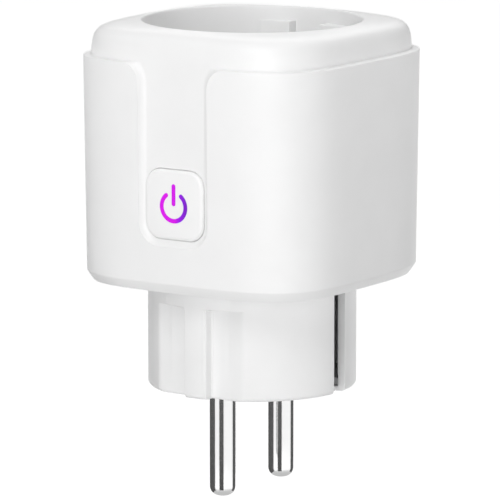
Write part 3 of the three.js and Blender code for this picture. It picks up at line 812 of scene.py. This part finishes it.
# %% Build the plug base
NECK = 18.7
NECK_INNER = 17.2
NECK_EDGE = 0.8
NECK_FLOOR = 2.0
GUIDE_FACE = 16.4
GUIDE_INNER = 14.4
GUIDE_TOP = 16.2
GUIDE_SHOULDER = ((-0.25, 0.0), (-0.06, 0.12), (0.0, 0.9), (0.15, 1.0))
RIB_HALF = 2.3
RIB_EDGE = 0.3
RIB_SHOULDER = 18.2
RIB_FACE = 18.55
FLANGE_HALF = 23.3
FLANGE_LOW = 21.5
FLANGE_TOP = 23.0
PIN_RADIUS = 2.4
PIN_SEAT = PIN_RADIUS + 0.06

rib_foot = math.atan2(GUIDE_FACE, RIB_HALF + RIB_EDGE)
rib_low = math.atan2(GUIDE_FACE + RIB_EDGE, RIB_HALF)
rib_high = math.atan2(RIB_SHOULDER, RIB_HALF)
rib_face = math.atan2(RIB_FACE, RIB_HALF - RIB_EDGE)
guide_end = math.atan2(GUIDE_FACE, math.sqrt(NECK ** 2 - GUIDE_FACE ** 2))
NECK_ROUND = ring_angles(240, mirrored([rib_foot, rib_low, rib_high, rib_face, guide_end]))


def neck_reach(angle, shrink=0.0):
    """Distance to the neck's outline beside the guide recesses, shrunk by the edge rounding."""
    side = abs(math.sin(angle))
    quarter = math.asin(min(1.0, side))
    radius = NECK - shrink
    if side < 0.5 or quarter >= rib_face - 1e-6:
        return radius
    if quarter >= rib_high - 1e-6:
        return min(radius, math.hypot(RIB_HALF, RIB_SHOULDER) - shrink)
    if quarter >= rib_low - 1e-6:
        return math.hypot(RIB_HALF, GUIDE_FACE + RIB_EDGE) - shrink
    return min(radius, (GUIDE_FACE - shrink * 0.3) / side)


def neck_inner_reach(angle):
    """Distance to the hollow's wall, flat behind the recesses."""
    side = abs(math.sin(angle))
    return min(NECK_INNER, GUIDE_INNER / side) if side > 0.5 else NECK_INNER


def shoulder_reach(share):
    """The outline on its way from the recesses, at share 0, to the full round, at share 1."""
    return lambda angle: neck_reach(angle) + (NECK - neck_reach(angle)) * share


def build_base():
    bm = bmesh.new()
    rings = [ring(NECK_ROUND, reach, 0) for reach in (0, 6, 12)]
    for turn in QUARTER_TURN:
        angle = math.radians(turn)
        shrink = NECK_EDGE * (1 - math.sin(angle))
        z = NECK_EDGE * (1 - math.cos(angle))
        rings.append(ring(NECK_ROUND, lambda a, shrink=shrink: neck_reach(a, shrink), z))
    for rise, share in GUIDE_SHOULDER:
        rings.append(ring(NECK_ROUND, shoulder_reach(share), GUIDE_TOP + rise))
    rings.append(ring(NECK_ROUND, NECK, FLANGE_LOW))
    rings.append(ring(NECK_ROUND, rounded_off(FLANGE_HALF), FLANGE_LOW))
    rings.append(ring(NECK_ROUND, rounded_off(FLANGE_HALF), FLANGE_TOP))
    rings.append(ring(NECK_ROUND, NECK_INNER, FLANGE_TOP))
    rings.append(ring(NECK_ROUND, NECK_INNER, GUIDE_TOP + 2))
    rings.append(ring(NECK_ROUND, neck_inner_reach, GUIDE_TOP + 1.8))
    rings.append(ring(NECK_ROUND, neck_inner_reach, NECK_FLOOR))
    rings.append(ring(NECK_ROUND, 0, NECK_FLOOR))
    stack(bm, rings)
    return finish_piece(bm, "plug_base_moulding", white_abs, "housing", ["plug_base"])


plug_base = build_base()
earth_slots = slot_cutters(near=16.6, far=20, half_width=1.8, low=-1.0, high=18.6)
floor_pockets = slot_cutters(near=13.2, far=NECK_INNER, half_width=3.4, low=0.8, high=3.0)
seat_profile = [(PIN_SEAT + 0.25, -1), (PIN_SEAT + 0.25, 0), (PIN_SEAT, 0.25), (PIN_SEAT, 3)]
pin_seats = [turned_cutter(seat_profile, side * PIN_Y) for side in (-1, 1)]
base_cutters = earth_slots + floor_pockets + pin_seats
cut(plug_base, base_cutters)
report(plug_base)

# %% [markdown]
# ## Pins
#
# A mains pin is turned from brass bar and nickel plated: a straight shank, a rounded nose, and a
# collar inside the neck that takes the pull. A half profile is spun about the pin's axis.

# %% Turn the pins
PIN_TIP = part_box("pin_live")[0][2] / MM
PIN_NOSE = 1.7
COLLAR_RADIUS = 3.8
COLLAR_LOW = 2.3
COLLAR_TOP = 4.3
COLLAR_EDGE = 0.1
TAIL_RADIUS = 1.5
TAIL_TOP = 27.8


def pin_profile():
    """Radius and height from the tip, up the shank and over the collar, to the end of the tail."""
    profile = [(0, PIN_TIP)]
    for step in range(9):
        angle = math.radians(90 * step / 8)
        radius = PIN_RADIUS - PIN_NOSE + PIN_NOSE * math.sin(angle)
        profile.append((radius, PIN_TIP + PIN_NOSE - PIN_NOSE * math.cos(angle)))
    profile += [(PIN_RADIUS, z) for z in (-12, -6, 0, COLLAR_LOW)]
    profile += [
        (COLLAR_RADIUS - COLLAR_EDGE, COLLAR_LOW), (COLLAR_RADIUS, COLLAR_LOW + COLLAR_EDGE),
        (COLLAR_RADIUS, COLLAR_TOP - COLLAR_EDGE), (COLLAR_RADIUS - COLLAR_EDGE, COLLAR_TOP),
    ]
    profile += [
        (TAIL_RADIUS, COLLAR_TOP), (TAIL_RADIUS, TAIL_TOP - 0.4),
        (TAIL_RADIUS - 0.2, TAIL_TOP), (0, TAIL_TOP),
    ]
    return profile


def turn_pin(node, y):
    """Spins the half profile about the pin's own axis."""
    bm = bmesh.new()
    verts = [bm.verts.new(Vector((radius, 0, z)) * MM) for radius, z in pin_profile()]
    edges = [bm.edges.new(pair) for pair in zip(verts, verts[1:])]
    bmesh.ops.spin(
        bm, geom=verts + edges, cent=(0, 0, 0), axis=(0, 0, 1), angle=2 * math.pi, steps=64, use_merge=True,
    )
    bmesh.ops.translate(bm, vec=(0, y * MM, 0), verts=bm.verts)
    return finish_piece(bm, node + "_turned", bright_nickel, "housing", [node])


report(turn_pin("pin_live", -PIN_Y))
report(turn_pin("pin_neutral", PIN_Y))

# %% [markdown]
# ## Button and light guide
#
# The button is a hollow cap with a soft round edge all round its face, so that a bright line follows
# its rim. It is moulded in two shots: the white face is cut through in the shape of the power symbol,
# and clear acrylic fills the cut from behind, level with the face.

# %% Button
BUTTON_FACE = -24.9
BUTTON_BACK = -21.5
BUTTON_EDGE = 0.7
BUTTON_SKIN = 1.4
BUTTON_WALL = 1.0
BUTTON_FLANGE = 0.9
BUTTON_FLANGE_Y = -22.3
ICON_Z = 35.3
ICON_RADIUS = 2.5
ICON_STROKE = 0.8
ICON_GAP = 38
ICON_BAR_Z = 37.4
ICON_BAR_HALF = 1.95


def build_button():
    bm = bmesh.new()
    rings = []
    for turn in reversed(QUARTER_TURN):
        angle = math.radians(turn)
        inset = BUTTON_EDGE * (1 - math.cos(angle))
        y = BUTTON_FACE + BUTTON_EDGE * (1 - math.sin(angle)) * 0.8
        rings.append(at_depth(button_outline(-inset), y))
    rings.append(at_depth(button_outline(0), BUTTON_FLANGE_Y))
    rings.append(at_depth(button_outline(BUTTON_FLANGE), BUTTON_FLANGE_Y))
    rings.append(at_depth(button_outline(BUTTON_FLANGE), BUTTON_BACK))
    rings.append(at_depth(button_outline(-BUTTON_WALL), BUTTON_BACK))
    rings.append(at_depth(button_outline(-BUTTON_WALL), BUTTON_FACE + BUTTON_SKIN))
    capped_stack(bm, rings)
    return finish_piece(bm, "power_button_moulding", button_abs, "button", ["power_button"])


def icon_outlines(grow):
    """Outline of the open ring and of the bar, each widened by grow."""
    half = ICON_STROKE / 2 + grow
    start = 90 + ICON_GAP
    end = 450 - ICON_GAP
    outer = arc(0, ICON_Z, ICON_RADIUS + half, start, end, 48)
    inner = arc(0, ICON_Z, ICON_RADIUS - half, end, start, 48)
    tips = []
    for turn, far in ((end, 0), (start, 180)):
        centre = arc(0, ICON_Z, ICON_RADIUS, turn, turn, 1)[0]
        tips.append(arc(centre[0], centre[1], half, turn + far, turn + far + 180, 8)[1:-1])
    ring_shape = outer + tips[0] + inner + tips[1]
    reach = ICON_BAR_HALF + grow - half
    bar_top = arc(0, ICON_BAR_Z + reach, half, 0, 180, 10)
    bar_foot = arc(0, ICON_BAR_Z - reach, half, 180, 360, 10)
    return [ring_shape, bar_top + bar_foot]


def icon_solids(name, grow, front, back, material):
    """The ring and the bar as two solids between two depths."""
    solids = []
    for number, outline in enumerate(icon_outlines(grow)):
        bm = bmesh.new()
        capped_stack(bm, [at_depth(outline, front), at_depth(outline, back)])
        solids.append(finish_piece(bm, f"{name}_{number}", material, None))
    return solids


power_button = build_button()
cut(power_button, icon_solids("icon_cutter", 0.015, BUTTON_FACE - 1, BUTTON_FACE + 3, button_abs))
report(power_button)


# %% Light guide
STROKE_DEPTH = 1.75
PLATE_DEPTH = 2.5


def join(pieces, name, body, replaces):
    """Puts several closed solids in one piece."""
    bm = bmesh.new()
    for piece in pieces:
        bm.from_mesh(piece.data)
    material = pieces[0].data.materials[0]
    for piece in pieces:
        bpy.data.meshes.remove(piece.data)
    return finish_piece(bm, name, material, body, replaces)


def guide_plate():
    """The plate behind the face that feeds light to both strokes."""
    bm = bmesh.new()
    outline = rounded_square(half_x=4.6, half_z=4.8, corner=1.2, centre_z=36.0)
    depths = (BUTTON_FACE + STROKE_DEPTH, BUTTON_FACE + PLATE_DEPTH)
    capped_stack(bm, [at_depth(outline, depth) for depth in depths])
    return finish_piece(bm, "guide_back", lit_acrylic, None)


guide_back = guide_plate()
guide_front = icon_solids("guide_stroke", 0, BUTTON_FACE, BUTTON_FACE + STROKE_DEPTH, lit_acrylic)
light_guide = join(guide_front + [guide_back], "icon_light_guide_acrylic", "button", ["icon_light_guide"])
report(light_guide)

# %% [markdown]
# ## Earth contacts
#
# The earth path is bent strip. Each clip in the well is a hairpin: a back leg in the wall, a round
# bend at the top and a sprung nose that bears on the plug. Each strip in the neck stands behind its
# slot and jogs out over the flange to meet the clip. The bend line is drawn from a few points, made
# smooth, extruded to the strip's width, and given its thickness.

# %% Bend the strips
def smooth_line(points, rounds=3):
    """Cuts the corners of a line again and again, which turns it into a smooth bend."""
    for _ in range(rounds):
        finer = [points[0]]
        for a, b in zip(points, points[1:]):
            finer.append(tuple(0.75 * p + 0.25 * q for p, q in zip(a, b)))
            finer.append(tuple(0.25 * p + 0.75 * q for p, q in zip(a, b)))
        finer.append(points[-1])
        points = finer
    return points


def bent_strip(name, line, half_width, thickness, material, node, mirror=False):
    """A strip whose middle line is drawn in X and Z and whose width lies along Y."""
    bm = bmesh.new()
    side = -1 if mirror else 1
    points = smooth_line(line)
    verts = [bm.verts.new(Vector((side * x, -half_width, z)) * MM) for x, z in points]
    edges = [bm.edges.new(pair) for pair in zip(verts, verts[1:])]
    grown = bmesh.ops.extrude_edge_only(bm, edges=edges)["geom"]
    moved = [item for item in grown if isinstance(item, bmesh.types.BMVert)]
    bmesh.ops.translate(bm, vec=Vector((0, 2 * half_width, 0)) * MM, verts=moved)
    bmesh.ops.recalc_face_normals(bm, faces=bm.faces)
    bmesh.ops.solidify(bm, geom=bm.faces[:], thickness=thickness * MM)
    long_edges = [edge for edge in bm.edges if edge.is_manifold and edge.calc_face_angle() > 1.2]
    bmesh.ops.bevel(
        bm, geom=long_edges, offset=0.08 * MM, segments=2, profile=0.5, affect="EDGES", material=-1,
        clamp_overlap=True,
    )
    return finish_piece(bm, name, material, "housing", [node])


STRIP_THICK = 0.7
CLIP_HALF = 2.2
STRIP_HALF = 1.5
CLIP_LINE = [
    (20.6, 34.2), (20.6, 50.0), (20.6, 58.2), (20.4, 59.7), (19.0, 59.9), (18.2, 58.4), (17.2, 55.5),
    (16.4, 53.6), (16.8, 52.2), (18.2, 49.9),
]
STRIP_LINE = [(15.6, 1.6), (15.6, 12.0), (15.6, 22.6), (15.9, 24.0), (21.4, 24.0), (21.7, 25.4), (21.7, 38.0)]
for suffix, flipped in (("right", False), ("left", True)):
    node = f"earth_clip_{suffix}"
    clip = bent_strip(node + "_sprung", CLIP_LINE, CLIP_HALF, STRIP_THICK, strip_nickel, node, flipped)
    node = f"earth_strip_{suffix}"
    strip = bent_strip(node + "_bent", STRIP_LINE, STRIP_HALF, STRIP_THICK, strip_nickel, node, flipped)
    report(clip)
    report(strip)

# %% [markdown]
# ## Stage and light
#
# The meter hangs clear above a pale sheet, as cut-out pictures are made, so no contact shadow falls
# and the background stays clean. No lamp lights the sheet: it glows by painted emission, and its glow
# and its colour are both painted darker towards the middle, as painted shade under the object that the
# underside and the pins pick up. A broad key light comes from just left of the camera. The far left and
# the right side are left to weaker fills, so the corner between the two faces reads as a soft turn from
# white to light grey.

# %% Pale floor
FLOOR_LEVEL = -450 * MM
FLOOR_REACH = 30.0
# The sheet's glow is painted light with no lamp behind it, weaker near the middle as painted shade under the
# object.
GLOW_NEAR = 0.22
GLOW_FAR = 0.75


def pale_floor():
    material, shader = start_material("floor_sheet_painted_glow_and_shade", Roughness=0.9)
    shader.inputs["Emission Color"].default_value = linear("#ffffff")
    place = add_node(material, "ShaderNodeTexCoord")
    reach = add_node(
        material, "ShaderNodeVectorMath", {"operation": "LENGTH"}, links={"Vector": place.outputs["Object"]},
    )
    # Painted glow: emission that grows from the middle outwards, so the middle gives painted shade.
    glow = add_node(
        material, "ShaderNodeMapRange", {"interpolation_type": "SMOOTHSTEP"},
        {"From Min": 0.8, "From Max": 1.5, "To Min": GLOW_NEAR, "To Max": GLOW_FAR},
        {"Value": reach.outputs["Value"]},
    )
    feed(material, shader, "Emission Strength", glow.outputs["Result"])
    # Colour painted darker near the middle: painted shade under the object.
    painted_dark_centre = ramp(material, reach.outputs["Value"], "#bdbdbd", "#f0f0f0", 0.5, 1.0)
    feed(material, shader, "Base Color", painted_dark_centre)
    bm = bmesh.new()
    bmesh.ops.create_grid(bm, x_segments=8, y_segments=8, size=FLOOR_REACH)
    bmesh.ops.translate(bm, vec=(0, 0, FLOOR_LEVEL), verts=bm.verts)
    finish_piece(bm, "floor", material, None)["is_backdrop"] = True


pale_floor()
print("floor at", FLOOR_LEVEL, "m")

# %% [markdown]
# Bright round metal needs something dark to reflect, or it melts into a white background. Three grey
# cards stand low round the set, outside the picture and hidden from the camera, and the pins pick
# them up as the dark bands that show they are round and polished.

# %% Grey cards for the pins to reflect
CARD_DISTANCE = 0.6
CARD_TOP = -0.05
CARD_FOOT = -0.44
CARD_SPANS = ((-118, -36), (3, 40), (126, 170))


def grey_card(number, start, end):
    """An upright card, tangent to a circle round the object, between two compass directions."""
    material, shader = start_material(f"grey_card_{number}", Roughness=0.9)
    mottle = object_noise(material, 40.0)
    feed(material, shader, "Base Color", ramp(material, mottle.outputs["Fac"], "#606060", "#666666"))
    middle = math.radians((start + end) / 2)
    spread = math.radians((end - start) / 2)
    outward = Vector((math.sin(middle), -math.cos(middle), 0))
    across = Vector((math.cos(middle), math.sin(middle), 0))
    width = 2 * CARD_DISTANCE * math.sin(spread)
    bm = bmesh.new()
    corners = bmesh.ops.create_grid(bm, x_segments=1, y_segments=1, size=0.5)["verts"]
    for vert in corners:
        side, rise = vert.co.x, vert.co.y
        level = (CARD_TOP + CARD_FOOT) / 2 + rise * (CARD_TOP - CARD_FOOT)
        place = outward * CARD_DISTANCE * math.cos(spread) + across * side * width
        vert.co = (place.x, place.y, level)
    card = finish_piece(bm, f"grey_card_{number}", material, None)
    card.visible_camera = False
    card.visible_shadow = False
    card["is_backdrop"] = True


for card_number, (card_start, card_end) in enumerate(CARD_SPANS):
    grey_card(card_number, card_start, card_end)
print("cards:", len(CARD_SPANS))

# %% [markdown]
# Six soft boxes light the object, two of them from the front. The one overhead whitens the top of the
# crown, and the one at the back lifts the far side of the rim. The surroundings add a dim even light
# from above. Below the horizon they are white, so nothing grey can show past the sheet.

# %% Lights
def soft_light(name, azimuth, elevation, distance, size, power):
    """A rectangular area light at a compass direction and height, looking at the object."""
    data = bpy.data.lights.new(name, "AREA")
    data.shape = "RECTANGLE"
    data.size, data.size_y = size
    data.energy = power
    light = bpy.data.objects.new(name, data)
    bpy.context.scene.collection.objects.link(light)
    turn = math.radians(azimuth)
    rise = math.radians(elevation)
    toward = Vector((math.sin(turn) * math.cos(rise), -math.cos(turn) * math.cos(rise), math.sin(rise)))
    light.location = toward * distance
    light.rotation_euler = toward.to_track_quat("Z", "Y").to_euler()


WORLD_LIGHT = 0.28
world = bpy.data.worlds.new("studio")
bpy.context.scene.world = world
world.use_nodes = True
background = world.node_tree.nodes["Background"]
background.inputs["Color"].default_value = linear("#ffffff")
sky = add_node(world, "ShaderNodeTexCoord")
height = add_node(world, "ShaderNodeSeparateXYZ", links={"Vector": sky.outputs["Generated"]})
above = add_node(
    world, "ShaderNodeMapRange",
    values={"From Min": -0.02, "From Max": 0.0, "To Min": 1.0, "To Max": WORLD_LIGHT},
    links={"Value": height.outputs["Z"]},
)
world.node_tree.links.new(above.outputs["Result"], background.inputs["Strength"])

LIGHTS = (
    ("overhead", 0, 89, 1.6, (1.8, 1.8), 9.3),
    ("key", 20, 7, 1.5, (1.0, 0.6), 7.0),
    ("high_front", 10, 42, 1.5, (0.8, 0.6), 5.7),
    ("left_fill", -65, 10, 1.5, (0.9, 0.7), 0.13),
    ("right_fill", 105, 10, 1.5, (0.9, 0.7), 1.1),
    ("back", 200, 40, 1.6, (1.4, 1.0), 7.2),
)
for settings in LIGHTS:
    soft_light(*settings)
bpy.context.scene.view_settings.view_transform = "Standard"
print("lights:", len(bpy.data.lights))

# %% [markdown]
# ## Print the size
#
# The finished pieces have to fill the same box as the CAD solids, so both boxes are measured and printed
# side by side.

# %% Print the sizes
visual_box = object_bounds()
for label, box in (("cad", cad_box), ("visual", visual_box)):
    print(label, [[round(value / MM, 2) for value in corner] for corner in box])
